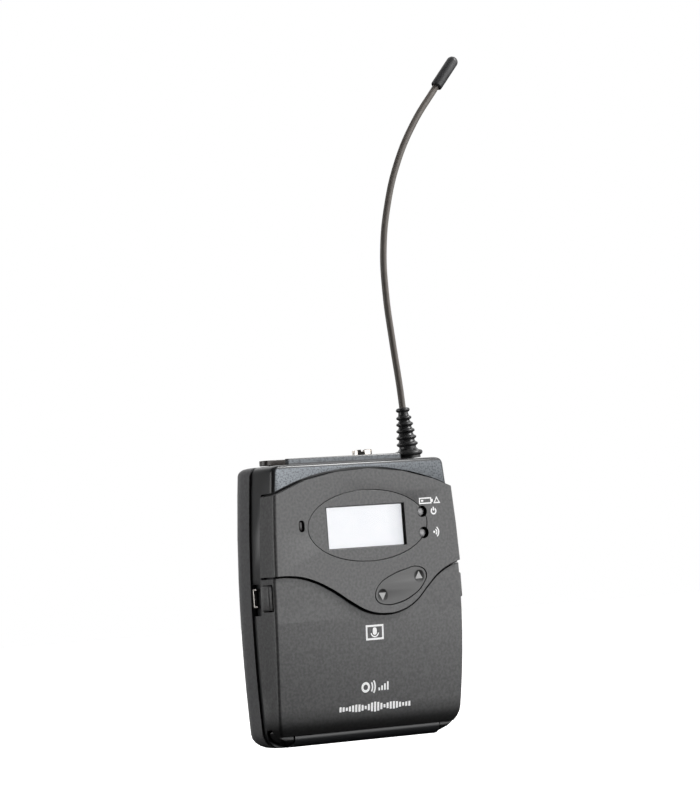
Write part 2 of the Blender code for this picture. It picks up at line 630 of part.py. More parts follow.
def make_battery_cover():
    form = {"floor_radius": COVER_SIDE_RADIUS, "floor_front": COVER_FRONT_RADIUS}
    cover = envelope("battery_cover", collection=PARTS, **form)
    lowered = []
    start, full = SPLIT_GAP_RIGHT_X
    for x, z in SPLIT_POINTS:
        aside = SPLIT_GAP_RIGHT * min(max((x - start) / (full - start), 0), 1)
        lowered.append((x + aside / MM, z - SPLIT_GAP / MM))
    outline = lowered + [(34, -2), (-34, -2)]
    field = plate("cover_field", outline, (-20 * MM, 8 * MM), smooth=len(SPLIT_POINTS))
    combine(cover, field, "INTERSECT")
    recess = leaning_block("contact_recess", FLANGE, 0, True)
    cut(recess, box("below_recess", ACROSS, ACROSS, (-2 * FAR, RECESS_BOTTOM_Z)))
    hinge = HINGE_Y, HINGE_Z
    barrel = ((-LUG_INNER_X, *hinge), (LUG_INNER_X, *hinge))
    cut(
        cover,
        leaning_block("cover_back_edge", SEAM, -RIB_WIDTH, True),
        envelope("cover_hollow", COVER_SIDE_WALL, COVER_WALL, **form),
        recess,
        box("low_edge", ACROSS, ACROSS, (-FAR, COVER_LOW_EDGE)),
        box("foot_way", ACROSS, (-3 * MM, FAR), (-FAR, FOOT_TOP_Z + 0.4 * MM)),
        rod("barrel_way", *barrel, BARREL_RADIUS + GAP, sides=32),
    )
    for side in (-1, 1):
        reach = span(side, LUG_INNER_X, 31 * MM)
        lug = rod(f"lug_{side}", (reach[0], *hinge), (reach[1], *hinge), LUG_RADIUS)
        combine(lug, envelope(f"lug_form_{side}", 0.1 * MM, **form), "INTERSECT")
        join(cover, lug)
        bore = span(side, 20 * MM, 28.2 * MM)
        cut(cover, rod(f"lug_bore_{side}", (bore[0], *hinge), (bore[1], *hinge), PIN_BORE, sides=16))
        cut(cover, box(
            f"catch_mouth_{side}", span(side, 30.2 * MM, 40 * MM),
            (CATCH_Y[0] - GAP, CATCH_Y[1] + GAP), (CATCH_Z[0] - GAP, CATCH_Z[1] + GAP),
        ))
    return finish(settle(cover), MATTE_BLACK)


def make_catch(side, word):
    outer = half_width(42 * MM) + CATCH_PROUD
    x = span(side, outer - CATCH_DEPTH, outer)
    finish(box(f"cover_catch_{word}", x, CATCH_Y, CATCH_Z, PARTS, edge=0.35 * MM), BLACK_PLASTIC)


def make_charging_contact(side, word):
    """A strip of nickel bent to a C in the side recess."""
    outer = half_width(42 * MM)
    x = span(side, outer - 1.4 * MM, outer - 0.4 * MM)
    contact = box(f"charging_contact_{word}", x, (-1.3 * MM, 0.5 * MM), (39.9 * MM, 45.3 * MM), PARTS)
    through = span(side, outer - 3 * MM, outer + 3 * MM)
    cut(contact, box(f"contact_hollow_{word}", through, (-3 * MM, -0.1 * MM), (40.5 * MM, 44.7 * MM)))
    finish(settle(contact), NICKEL)


def make_rocker():
    depth = (FRONT_Y + 0.05 * MM, FRONT_Y + 1.55 * MM)
    smooth = len(ROCKER_POINTS)
    rocker = plate("rocker_button", ROCKER_POINTS, depth, PARTS, smooth, steps=4)
    for number, (x, z) in enumerate(ROCKER_ARROWS):
        dimple = bmesh.new()
        bmesh.ops.create_uvsphere(dimple, u_segments=24, v_segments=16, radius=3.9 * MM)
        bmesh.ops.translate(dimple, vec=(x, FRONT_Y - 3.4 * MM, z), verts=dimple.verts)
        cut(rocker, add_mesh(f"dimple_{number}", dimple))
    x, z = ROCKER_CENTRE
    foot = ((x, FRONT_Y + 1.2 * MM, z), (x, FRONT_Y + 2.6 * MM, z))
    join(rocker, rod("rocker_foot", *foot, 1.6 * MM, sides=16))
    finish(settle(rocker), MATTE_BLACK)
    mat_x, mat_y, mat_z = (2 * MM, 19.5 * MM), (-8.9 * MM, -8.1 * MM), (38.9 * MM, 48 * MM)
    finish(box("keypad_mat", mat_x, mat_y, mat_z, PARTS, edge=0.2 * MM), DARK_RUBBER)


def make_cover_buttons():
    for name, (x, z) in COVER_BUTTONS.items():
        button = rod(name, (x, -9.3 * MM, z), (x, -7.2 * MM, z), BUTTON_RADIUS, PARTS, 24)
        finish(button, BLACK_PLASTIC)


def make_electronics():
    pieces = (
        ("main_board", (-26.8, 26.8), (-5.2, -4.2), (36.6, 77.5), 0, BOARD_GREEN),
        ("rf_shield_can", (-25, 3), (-3.8, 0.2), (50, 73), 0.4, STEEL),
        ("audio_shield_can", (7, 25), (-3.8, -0.8), (40, 57), 0.4, STEEL),
        ("board_connector", (-22, -8), (-3.8, -1.2), (38.5, 42.5), 0, BLACK_PLASTIC),
    )
    for name, x, y, z, edge, look in pieces:
        limits = [tuple(value * MM for value in pair) for pair in (x, y, z)]
        finish(box(name, *limits, PARTS, edge=edge * MM), look)
    switches = {"set": COVER_BUTTONS["set_button"], "power": COVER_BUTTONS["power_button"]}
    switches["down"], switches["up"] = ROCKER_ARROWS
    reach = SWITCH_HALF
    for word, (x, z) in switches.items():
        front = COVER_SWITCH_FRONT if word in ("set", "power") else ROCKER_SWITCH_FRONT
        limits = ((x - reach, x + reach), (front, SWITCH_BACK), (z - reach, z + reach))
        finish(box(f"tact_switch_{word}", *limits, PARTS), BLACK_PLASTIC)


def make_cell(word, turned_round):
    """A round cell along X; its nub points to +X, or to -X where it is turned round."""
    z = CELL_Z[word]
    way = -1 if turned_round else 1
    blunt, nub = -way * CELL_ENDS[0], way * CELL_ENDS[1]
    shoulder = nub - way * NUB_LENGTH
    cell = rod(f"battery_cell_{word}", (blunt, CELL_Y, z), (shoulder, CELL_Y, z), CELL_RADIUS, PARTS, 32)
    join(cell, rod(f"nub_{word}", (shoulder - way * MM, CELL_Y, z), (nub, CELL_Y, z), NUB_RADIUS, sides=16))
    finish(settle(cell), CELL_WRAP)
    plate_x = way * CONTACT_INNER_X
    contact_z = (z - CONTACT_HALF_Z, z + CONTACT_HALF_Z)
    contact = box(
        f"contact_plate_{word}", span(way, CONTACT_INNER_X, CONTACT_OUTER_X),
        (CELL_Y - 4 * MM, CELL_Y + 4 * MM), contact_z, PARTS,
    )
    finish(contact, NICKEL)
    coil = bpy.data.curves.new(f"contact_spring_{word}", "CURVE")
    coil.dimensions = "3D"
    coil.bevel_depth = 0.17 * MM
    coil.bevel_resolution = 1
    coil.use_fill_caps = True
    turns, steps = 2, 14
    spline = coil.splines.new("POLY")
    spline.points.add(turns * steps)
    for index, point in enumerate(spline.points):
        share = index / (turns * steps)
        angle = 2 * math.pi * turns * share
        radius = (4.2 - 2.2 * share) * MM
        x = -plate_x + way * (0.5 + 0.35 * share) * MM
        point.co = (x, CELL_Y + radius * math.cos(angle), z + radius * math.sin(angle), 1)
    obj = bpy.data.objects.new(coil.name, coil)
    CUTTERS.objects.link(obj)
    finish(to_mesh_object(obj, PARTS), NICKEL)
    base = box(
        f"spring_plate_{word}", span(-way, CONTACT_INNER_X + 0.05 * MM, CONTACT_OUTER_X),
        (CELL_Y - 5 * MM, CELL_Y + 5 * MM), contact_z, PARTS,
    )
    finish(base, NICKEL)


def make_battery():
    tray = box("battery_tray", (-27 * MM, 27 * MM), (3 * MM, 8.4 * MM), (5 * MM, 35.9 * MM), PARTS)
    for word, z in CELL_Z.items():
        ends = ((-26.4 * MM, CELL_Y, z), (26.4 * MM, CELL_Y, z))
        cut(tray, rod(f"groove_{word}", *ends, CELL_RADIUS + 0.35 * MM, sides=32))
    finish(settle(tray), BLACK_PLASTIC)
    make_cell("lower", False)
    make_cell("upper", True)


def make_jack():
    centre = Matrix.Translation((JACK_X, TOP_Y, 0))
    body = turned("jack_socket", [
        (3.9 * MM, 66 * MM), (3.9 * MM, 77.6 * MM), (NECK_RADIUS, 77.6 * MM), (NECK_RADIUS, 82.5 * MM),
    ], centre, PARTS)
    bore = ((JACK_X, TOP_Y, 67.5 * MM), (JACK_X, TOP_Y, 90 * MM))
    cut(body, rod("jack_bore", *bore, JACK_BORE_RADIUS))
    finish(settle(body), NICKEL)
    base = PLATEAU_TOP + 0.25 * MM
    ring = turned("jack_ring_nut", [
        (RING_RADIUS, base), (RING_RADIUS, base + RING_HEIGHT - 0.2 * MM),
        (RING_RADIUS - 0.2 * MM, base + RING_HEIGHT),
    ], centre, PARTS, 32, bore=RING_BORE)
    for notch in range(RING_NOTCHES):
        notch_z = (base + 0.75 * MM, base + 4 * MM)
        cutter = box(f"ring_notch_{notch}", (2 * MM, 6 * MM), (-0.5 * MM, 0.5 * MM), notch_z)
        cutter.matrix_world = centre @ Matrix.Rotation(2 * math.pi * notch / RING_NOTCHES, 4, "Z")
        cut(ring, cutter)
    finish(settle(ring), NICKEL)


def make_mute_switch():
    """The slider is a pill seen from above, with a stem down to the switch."""
    x0, x1 = SLIDER_X
    low = SHELF_TOP + 0.3 * MM
    half = SLIDER_HALF_Y
    reach = 0.6 * half
    corners = []
    for end, way in ((x1 - reach, 1), (x0 + reach, -1)):
        for step in range(9):
            turn = math.radians(22.5 * step - 90)
            corners.append((end + way * reach * math.cos(turn), way * half * math.sin(turn)))
    outline = bmesh.new()
    bottom = outline.faces.new([outline.verts.new((x, y, low)) for x, y in corners])
    lifted = bmesh.ops.extrude_face_region(outline, geom=[bottom])["geom"]
    top = [item for item in lifted if isinstance(item, bmesh.types.BMVert)]
    bmesh.ops.translate(outline, vec=(0, 0, SLIDER_TOP - low), verts=top)
    slider = add_mesh("mute_slider", outline, PARTS)
    stem_x, stem_z = (-23.6 * MM, -18.6 * MM), (77.6 * MM, low + 0.9 * MM)
    join(slider, box("slider_stem", stem_x, (-0.55 * MM, 0.55 * MM), stem_z))
    finish(settle(slider), BLACK_PLASTIC)
    body_x, body_y, body_z = (-26 * MM, -17 * MM), (-3.2 * MM, 2.6 * MM), (73.6 * MM, 77.2 * MM)
    finish(box("mute_switch_body", body_x, body_y, body_z, PARTS, edge=0.3 * MM), STEEL)


def make_aerial():
    socket = ((AERIAL_X, TOP_Y, 74.5 * MM), (AERIAL_X, TOP_Y, SHELF_TOP - 0.1 * MM))
    finish(rod("aerial_socket", *socket, 1.9 * MM, PARTS, 20), BRASS)
    place = Matrix.Translation((AERIAL_X, TOP_Y, AERIAL_BASE_Z))
    place @= Matrix.Rotation(BOOT_LEAN, 4, "Y")
    boot = turned("aerial_boot", [(r * MM, z * MM) for r, z in BOOT_PROFILE], place, PARTS, 20)
    cut(boot, box("boot_trim", ACROSS, ACROSS, (0, SHELF_TOP + 0.25 * MM)))
    finish(settle(boot), DARK_RUBBER)
    curve = bpy.data.curves.new("aerial_whip", "CURVE")
    curve.dimensions = "3D"
    curve.bevel_depth = WHIP_RADIUS
    curve.bevel_resolution = 2
    curve.resolution_u = 5
    curve.use_fill_caps = True
    spline = curve.splines.new("BEZIER")
    spline.bezier_points.add(len(WHIP_POINTS) - 1)
    for point, (x, z) in zip(spline.bezier_points, WHIP_POINTS):
        point.co = (x * MM, TOP_Y, z * MM)
        point.handle_left_type = point.handle_right_type = "AUTO"
    obj = bpy.data.objects.new("aerial_whip", curve)
    CUTTERS.objects.link(obj)
    finish(to_mesh_object(obj, PARTS), BLACK_PLASTIC)
    lean = Matrix.Translation((TIP_START[0], TOP_Y, TIP_START[1]))
    lean @= Matrix.Rotation(TIP_LEAN, 4, "Y")
    length, radius = TIP_LENGTH, TIP_RADIUS
    profile = [(radius * 0.8, 0), (radius, 0.4 * MM)]
    for step in range(6):
        turn = math.radians(16 * step)
        profile.append((radius * math.cos(turn), length - radius + radius * math.sin(turn)))
    finish(turned("aerial_tip", profile, lean, PARTS, 16), DARK_RUBBER)


def make_hinge_pin(side, word):
    x = span(side, 18.9 * MM, 27.9 * MM)
    ends = [(end, HINGE_Y, HINGE_Z) for end in x]
    finish(rod(f"hinge_pin_{word}", *ends, PIN_RADIUS, PARTS, 16), STEEL)


def make_case_screws():
    for number, (x, z) in enumerate(SCREW_PLACES, 1):
        shank = ((x, 3.6 * MM, z), (x, 10.3 * MM, z))
        screw = rod(f"case_screw_{number}", *shank, 0.95 * MM, PARTS, 12)
        head = ((x, 9.95 * MM, z), (x, 11 * MM, z))
        join(screw, rod(f"screw_head_{number}", *head, 1.65 * MM, sides=16))
        for turn, word in ((0, "flat"), (math.pi / 2, "upright")):
            limits = ((-1.1 * MM, 1.1 * MM), (-0.4 * MM, 2 * MM), (-0.2 * MM, 0.2 * MM))
            slot = box(f"slot_{word}_{number}", *limits)
            place = Matrix.Translation((x, 10.9 * MM, z))
            slot.matrix_world = place @ Matrix.Rotation(turn, 4, "Y")
            cut(screw, slot)
        finish(settle(screw), STEEL)


def make_belt_clip():
    """One bent wire: its ends turn in the back shell's lugs, its legs run down the back."""
    y, z = CLIP_AXIS
    half = [
        (11.1 * MM, y, z),
        (12.2 * MM, y, z),
        (13.2 * MM, y + 0.4 * MM, z - 0.6 * MM),
        (13.4 * MM, y + 2.2 * MM, z - 2.4 * MM),
        (13 * MM, CLIP_Y, z - 7 * MM),
        (12 * MM, CLIP_Y, 44 * MM),
        (11.4 * MM, CLIP_Y - 0.4 * MM, 24 * MM),
        (10.5 * MM, CLIP_Y - 2.2 * MM, 16.5 * MM),
        (8 * MM, CLIP_Y - 2.6 * MM, 13.4 * MM),
        (4 * MM, CLIP_Y - 2.4 * MM, 12.2 * MM),
    ]
    points = half + [(-x, y, z) for x, y, z in reversed(half)]
    curve = bpy.data.curves.new("belt_clip", "CURVE")
    curve.dimensions = "3D"
    curve.bevel_depth = CLIP_RADIUS
    curve.bevel_resolution = 1
    curve.resolution_u = 3
    curve.use_fill_caps = True
    spline = curve.splines.new("BEZIER")
    spline.bezier_points.add(len(points) - 1)
    for point, place in zip(spline.bezier_points, points):
        point.co = place
        point.handle_left_type = point.handle_right_type = "AUTO"
    obj = bpy.data.objects.new("belt_clip", curve)
    CUTTERS.objects.link(obj)
    clip = to_mesh_object(obj, PARTS)
    for side in (-1, 1):
        ends = span(side, 5.8 * MM, 11.6 * MM)
        straight = [(end, *CLIP_AXIS) for end in ends]
        join(clip, rod(f"clip_end_{side}", *straight, CLIP_RADIUS * 0.98, sides=16))
    finish(settle(clip), STEEL)


def make_type_plate():
    x, y, z = (-9.5 * MM, 9.5 * MM), (11.7 * MM, 12 * MM), (25.3 * MM, 48.7 * MM)
    finish(box("type_plate", x, y, z, PARTS), MATTE_BLACK)


def set_origin(name, point):
    """Moves an object's origin to a point and leaves its shape where it is."""
    obj = bpy.data.objects[name]
    obj.data.transform(Matrix.Translation(-Vector(point)))
    obj.location = point


make_back_shell()
make_chassis_frame()
make_display_panel()
make_display()
make_battery_cover()
mirrored_pairs(make_catch)
mirrored_pairs(make_charging_contact)
make_rocker()
make_cover_buttons()
make_electronics()
make_battery()
make_jack()
make_mute_switch()
make_aerial()
mirrored_pairs(make_hinge_pin)
make_case_screws()
make_belt_clip()
make_type_plate()

set_origin("battery_cover", (0, HINGE_Y, HINGE_Z))
set_origin("rocker_button", (ROCKER_CENTRE[0], FRONT_Y + 1.5 * MM, ROCKER_CENTRE[1]))
set_origin("belt_clip", (0, *CLIP_AXIS))
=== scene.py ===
"""Looks of a wireless bodypack transmitter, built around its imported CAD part.

Metres, Z up; the front faces -Y. Lengths are written in millimetres times MM.
"""

import json
import math

import bmesh
import bpy
from mathutils import Matrix, Vector


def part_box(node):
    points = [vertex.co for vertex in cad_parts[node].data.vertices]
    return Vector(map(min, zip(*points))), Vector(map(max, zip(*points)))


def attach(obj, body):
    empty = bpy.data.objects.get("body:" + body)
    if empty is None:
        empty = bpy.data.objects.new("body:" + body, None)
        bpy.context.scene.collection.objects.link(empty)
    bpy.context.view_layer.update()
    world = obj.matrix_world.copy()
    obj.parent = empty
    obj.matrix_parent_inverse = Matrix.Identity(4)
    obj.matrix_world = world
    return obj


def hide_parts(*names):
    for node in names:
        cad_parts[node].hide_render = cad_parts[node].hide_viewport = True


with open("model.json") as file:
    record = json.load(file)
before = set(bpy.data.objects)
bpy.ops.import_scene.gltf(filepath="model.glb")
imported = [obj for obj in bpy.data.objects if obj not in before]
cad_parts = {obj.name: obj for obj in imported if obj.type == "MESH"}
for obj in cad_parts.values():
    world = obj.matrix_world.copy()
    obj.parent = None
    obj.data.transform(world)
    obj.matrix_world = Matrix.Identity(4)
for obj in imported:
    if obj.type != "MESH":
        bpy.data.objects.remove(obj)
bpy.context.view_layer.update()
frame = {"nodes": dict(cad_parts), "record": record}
NODES = frame["nodes"]
RECORD = frame["record"]
MM = 0.001

BODY_OF = {node: body for body, nodes in RECORD["behaviour"]["bodies"].items() for node in nodes}

# Depths and heights of the CAD part's faces
PANEL_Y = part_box("display_panel")[0].y
COVER_Y = PANEL_Y + 1 * MM
BROW_Y = COVER_Y + 0.5 * MM
COVER_BEND_Z = 48 * MM
COVER_BEND = 4.62 * MM
SHELF_Z = 79.5 * MM
PLATEAU_TOP = 81.3 * MM

# The floor lies just below the battery cover where it hangs open, and runs 4 m each way
FLOOR_Z = -12 * MM
FLOOR_HALF = 4

# The camera's place in metres and its turn in degrees
CAMERA_PLACE = (-0.68461, -0.96585, 0.04534)
CAMERA_TURN = (92.523, 4.2564, -35.3764)
FOCAL_LENGTH = 185.76


# ---------------------------------------------------------------- camera, floor and light

def make_camera():
    data = bpy.data.cameras.new("camera")
    data.lens = FOCAL_LENGTH
    data.sensor_width = 36
    data.clip_start, data.clip_end = 0.05, 20
    camera = bpy.data.objects.new("camera", data)
    bpy.context.scene.collection.objects.link(camera)
    camera.location = CAMERA_PLACE
    camera.rotation_euler = [math.radians(angle) for angle in CAMERA_TURN]
    bpy.context.scene.camera = camera


def soft_light(name, place, target, size, power):
    data = bpy.data.lights.new(name, "AREA")
    data.shape = "RECTANGLE"
    data.size, data.size_y = size
    data.energy = power
    lamp = bpy.data.objects.new(name, data)
    bpy.context.scene.collection.objects.link(lamp)
    lamp.location = place
    lamp.rotation_euler = (Vector(target) - Vector(place)).to_track_quat("-Z", "Y").to_euler()


def add(tree, kind, inputs=(), **settings):
    """A shader node with its settings and its input values."""
    node = tree.nodes.new(kind)
    for key, value in settings.items():
        setattr(node, key, value)
    for key, value in dict(inputs).items():
        node.inputs[key].default_value = value
    return node


def new_material(name):
    made = bpy.data.materials.new(name)
    made.use_nodes = True
    return made, made.node_tree, made.node_tree.nodes["Principled BSDF"]


# The studio around the object: direction, cosines at its rim and its full part, brightness
STUDIO_BASE = 0.05
STUDIO_GLOWS = [
    ((0.62, -0.78, 0.02), (0.72, 0.93), 3.6),
    ((-0.93, 0.36, 0.02), (0.90, 0.98), 4.0),
    ((0.50, 0.85, 0.10), (0.15, 0.80), 1.0),
    ((0.35, 0.55, 0.75), (0.80, 0.97), 0.9),
]
HORIZON = (-0.30, 0.0)


def make_studio():
    """White behind everything for the camera, and soft glows that light the object."""
    world = bpy.data.worlds.new("studio")
    bpy.context.scene.world = world
    world.use_nodes = True
    tree = world.node_tree
    tree.nodes.clear()
    place = add(tree, "ShaderNodeTexCoord")
    total = None
    for direction, (low, high), strength in STUDIO_GLOWS:
        dot = add(tree, "ShaderNodeVectorMath", operation="DOT_PRODUCT")
        dot.inputs[1].default_value = Vector(direction).normalized()
        tree.links.new(place.outputs["Generated"], dot.inputs[0])
        glow = add(
            tree, "ShaderNodeMapRange", {"From Min": low, "From Max": high, "To Max": strength},
            interpolation_type="SMOOTHSTEP",
        )
        tree.links.new(dot.outputs["Value"], glow.inputs["Value"])
        plus = add(tree, "ShaderNodeMath", operation="ADD")
        plus.inputs[0].default_value = STUDIO_BASE
        if total:
            tree.links.new(total, plus.inputs[0])
        tree.links.new(glow.outputs["Result"], plus.inputs[1])
        total = plus.outputs["Value"]
    split = add(tree, "ShaderNodeSeparateXYZ")
    tree.links.new(place.outputs["Generated"], split.inputs["Vector"])
    above = add(
        tree, "ShaderNodeMapRange", {"From Min": HORIZON[0], "From Max": HORIZON[1]},
        interpolation_type="SMOOTHSTEP",
    )
    tree.links.new(split.outputs["Z"], above.inputs["Value"])
    level = add(tree, "ShaderNodeMath", operation="MULTIPLY")
    tree.links.new(total, level.inputs[0])
    tree.links.new(above.outputs["Result"], level.inputs[1])
    lit = add(tree, "ShaderNodeBackground")
    tree.links.new(level.outputs["Value"], lit.inputs["Strength"])
    seen = add(tree, "ShaderNodeBackground", {"Color": (1, 1, 1, 1), "Strength": 1.0})
    ray = add(tree, "ShaderNodeLightPath")
    both = add(tree, "ShaderNodeMixShader")
    tree.links.new(ray.outputs["Is Camera Ray"], both.inputs["Fac"])
    tree.links.new(lit.outputs["Background"], both.inputs[1])
    tree.links.new(seen.outputs["Background"], both.inputs[2])
    end = add(tree, "ShaderNodeOutputWorld")
    tree.links.new(both.outputs["Shader"], end.inputs["Surface"])


def make_floor():
    shape = bmesh.new()
    bmesh.ops.create_grid(shape, x_segments=1, y_segments=1, size=FLOOR_HALF)
    mesh = bpy.data.meshes.new("floor")
    shape.to_mesh(mesh)
    shape.free()
    floor = bpy.data.objects.new("floor", mesh)
    floor.location = (0, 0, FLOOR_Z)
    floor.visible_diffuse = False
    floor.visible_glossy = False
    bpy.context.scene.collection.objects.link(floor)
    made, tree, shader = new_material("floor_paper")
    shader.inputs["Base Color"].default_value = (0.9, 0.9, 0.9, 1)
    shader.inputs["Roughness"].default_value = 0.9
    shader.inputs["Emission Color"].default_value = (1, 1, 1, 1)
    shader.inputs["Emission Strength"].default_value = 0.75
    mesh.materials.append(made)


bpy.context.scene.view_settings.view_transform = "Standard"
make_camera()
make_studio()
make_floor()
soft_light("key", (0.75, -0.62, 1.1), (0, 0, 0.05), (0.35, 0.35), 15)


# ---------------------------------------------------------------- materials

SHELL = (0.088, 0.088, 0.089)
BARE_BLACK = (0.024, 0.025, 0.027)
# The frame's silver is as bright as the studio's reflection on it: paint colour and painted sheen
# in one.
WRINKLE_PAINT_AND_PAINTED_SHEEN = (0.185, 0.2, 0.215)
KEY_GREY = (0.135, 0.135, 0.135)
# Painted shade for the rocker's dimples.
DIMPLE_PAINTED_SHADE = (0.02, 0.02, 0.02)
DIMPLES = ((3.8 * MM, 40.9 * MM), (17.1 * MM, 45.6 * MM))
WRAP_BLUE = (0.02, 0.045, 0.09)
WRAP_COPPER = (0.45, 0.2, 0.08)
BETWEEN_CELLS_Z = 20 * MM


def noise(tree, size, detail=2.0, roughness=0.5):
    """A noise in object space whose features are about that size across."""
    place = add(tree, "ShaderNodeTexCoord")
    made = add(
        tree, "ShaderNodeTexNoise", {"Scale": 1 / size, "Detail": detail, "Roughness": roughness},
    )
    tree.links.new(place.outputs["Object"], made.inputs["Vector"])
    return made.outputs["Fac"]


def spread(tree, source, low, high, start=0.3, end=0.7):
    """Stretches a noise to run between two values."""
    made = add(
        tree, "ShaderNodeMapRange",
        {"From Min": start, "From Max": end, "To Min": low, "To Max": high},
    )
    tree.links.new(source, made.inputs["Value"])
    return made.outputs["Result"]


def shade(tree, source, dark, light, target, start=0.3, end=0.7):
    """A colour that runs from dark to light as the source does."""
    ramp = add(tree, "ShaderNodeValToRGB")
    ramp.color_ramp.elements[0].position = start
    ramp.color_ramp.elements[1].position = end
    ramp.color_ramp.elements[0].color = (*dark, 1)
    ramp.color_ramp.elements[1].color = (*light, 1)
    tree.links.new(source, ramp.inputs["Fac"])
    tree.links.new(ramp.outputs["Color"], target)


def relief(tree, shader, height, depth, strength=1.0, under=None):
    """Bump from a height, over another bump where one is given."""
    bump = add(tree, "ShaderNodeBump", {"Strength": strength, "Distance": depth})
    tree.links.new(height, bump.inputs["Height"])
    if under:
        tree.links.new(under, bump.inputs["Normal"])
    tree.links.new(bump.outputs["Normal"], shader.inputs["Normal"])
    return bump.outputs["Normal"]


def tone(colour, factor):
    return tuple(min(channel * factor, 1) for channel in colour)


def surface(
    name, colour, rough, grain=0.4, depth=0.01, contrast=0.12, metal=0.0, specular=0.5, coat=0.0,
    coarse=1.5, strength=0.5,
):
    """A material with grain in its colour, gloss and relief; grain, coarse and depth in mm."""
    made, tree, shader = new_material(name)
    shader.inputs["Metallic"].default_value = metal
    shader.inputs["Specular IOR Level"].default_value = specular
    shader.inputs["Coat Weight"].default_value = coat
    shader.inputs["Coat Roughness"].default_value = 0.15
    fine = noise(tree, grain * MM, 3.0)
    wide = noise(tree, coarse * MM, 2.0)
    shade(
        tree, wide, tone(colour, 1 - contrast), tone(colour, 1 + contrast),
        shader.inputs["Base Color"], 0.35, 0.65,
    )
    rougher = spread(tree, fine, rough * 0.88, rough * 1.12)
    tree.links.new(rougher, shader.inputs["Roughness"])
    relief(tree, shader, fine, depth * MM, strength)
    return made


def add_math(tree, operation, first, second):
    """One step of arithmetic; each value is a number or another node's output."""
    node = add(tree, "ShaderNodeMath", operation=operation)
    for socket, value in zip(node.inputs, (first, second)):
        if isinstance(value, (int, float)):
            socket.default_value = value
        else:
            tree.links.new(value, socket)
    return node.outputs["Value"]


def places(tree):
    """X, Y and Z in object space."""
    place = add(tree, "ShaderNodeTexCoord")
    split = add(tree, "ShaderNodeSeparateXYZ")
    tree.links.new(place.outputs["Object"], split.inputs["Vector"])
    return [split.outputs[axis] for axis in "XYZ"]


def make_frame_paint():
    """Metallic wrinkle paint on the brow and on a band of the raised top, black everywhere else.
    The silver also carries a painted sheen, and the paint's bounds and fades give painted light
    and shade: a painted dark band where the brow rounds over, and painted shade towards the right
    and on the raised top.
    """
    made, tree, shader = new_material("frame_paint")
    x, y, z = places(tree)
    front = spread(tree, y, 1.0, 0.0, BROW_Y + 0.05 * MM, BROW_Y + 0.15 * MM)
    # Painted dark band: the silver stops about a millimetre below the shelf, short of the brow's
    # top rounding.
    painted_dark_band_edge = spread(tree, z, 1.0, 0.0, SHELF_Z - 1.2 * MM, SHELF_Z - 0.8 * MM)
    brow = add_math(tree, "MULTIPLY", front, painted_dark_band_edge)
    wall = spread(tree, z, 0.0, 1.0, SHELF_Z + 0.3 * MM, SHELF_Z + 0.5 * MM)
    below_top = spread(tree, z, 1.0, 0.0, PLATEAU_TOP - 0.45 * MM, PLATEAU_TOP - 0.3 * MM)
    raised = add_math(tree, "MULTIPLY", wall, below_top)
    painted = add_math(tree, "MAXIMUM", brow, raised)
    lumps = noise(tree, 0.5 * MM, 2.5, 0.6)
    height = spread(tree, lumps, 0.35, 1.0, 0.38, 0.52)
    # Painted shade: the silver dims towards the right, to 62 percent, and to half on the raised
    # top.
    painted_sideways_shade = spread(tree, x, 1.0, 0.62, -26 * MM, 30 * MM)
    painted_dimming = spread(tree, raised, 1.0, 0.5, 0, 1)
    bright = add_math(tree, "MULTIPLY", painted_sideways_shade, painted_dimming)
    level = add_math(tree, "MULTIPLY", add_math(tree, "MULTIPLY", height, bright), painted)
    shade(tree, level, BARE_BLACK, WRINKLE_PAINT_AND_PAINTED_SHEEN, shader.inputs["Base Color"], 0, 1)
    tree.links.new(add_math(tree, "MULTIPLY", painted, 0.75), shader.inputs["Metallic"])
    tree.links.new(spread(tree, painted, 0.28, 0.34, 0, 1), shader.inputs["Roughness"])
    relief(tree, shader, add_math(tree, "MULTIPLY", lumps, painted), 0.02 * MM, 0.5)
    return made


def make_front_plastic_with_painted_shade():
    """The front's grained moulding, with painted shade that darkens its colour towards the cover's
    foot, where the cover rolls under.
    """
    made = surface("shell_plastic", SHELL, 0.5, 0.5, 0.025, 0.2, coarse=0.8, coat=0.25)
    tree = made.node_tree
    shader = tree.nodes["Principled BSDF"]
    # Painted shade: the base colour falls to a quarter from 11 mm down to 5.5 mm above the bottom.
    foot = spread(tree, places(tree)[2], 0.25, 1.0, 5.5 * MM, 11 * MM)
    painted_dimming = add(tree, "ShaderNodeVectorMath", operation="SCALE")
    tree.links.new(shader.inputs["Base Color"].links[0].from_socket, painted_dimming.inputs[0])
    tree.links.new(foot, painted_dimming.inputs["Scale"])
    tree.links.new(painted_dimming.outputs["Vector"], shader.inputs["Base Color"])
    return made


def make_rocker_plastic():
    """The keys' moulding, with painted shade darkening the two finger dimples."""
    made, tree, shader = new_material("rocker_plastic")
    fine = noise(tree, 0.4 * MM, 3.0)
    place = add(tree, "ShaderNodeTexCoord")
    distances = []
    for x, z in DIMPLES:
        away = add(tree, "ShaderNodeVectorMath", operation="DISTANCE")
        away.inputs[1].default_value = (x, PANEL_Y, z)
        tree.links.new(place.outputs["Object"], away.inputs[0])
        distances.append(away.outputs["Value"])
    nearest = add_math(tree, "MINIMUM", *distances)
    # Painted shade: the colour goes near black within about 1.6 mm of each dimple's centre.
    clear_of_painted_shade = spread(tree, nearest, 0.0, 1.0, 1.6 * MM, 1.95 * MM)
    shade(tree, clear_of_painted_shade, DIMPLE_PAINTED_SHADE, KEY_GREY, shader.inputs["Base Color"], 0, 1)
    tree.links.new(spread(tree, fine, 0.48, 0.6), shader.inputs["Roughness"])
    relief(tree, shader, fine, 0.012 * MM, 0.5)
    return made


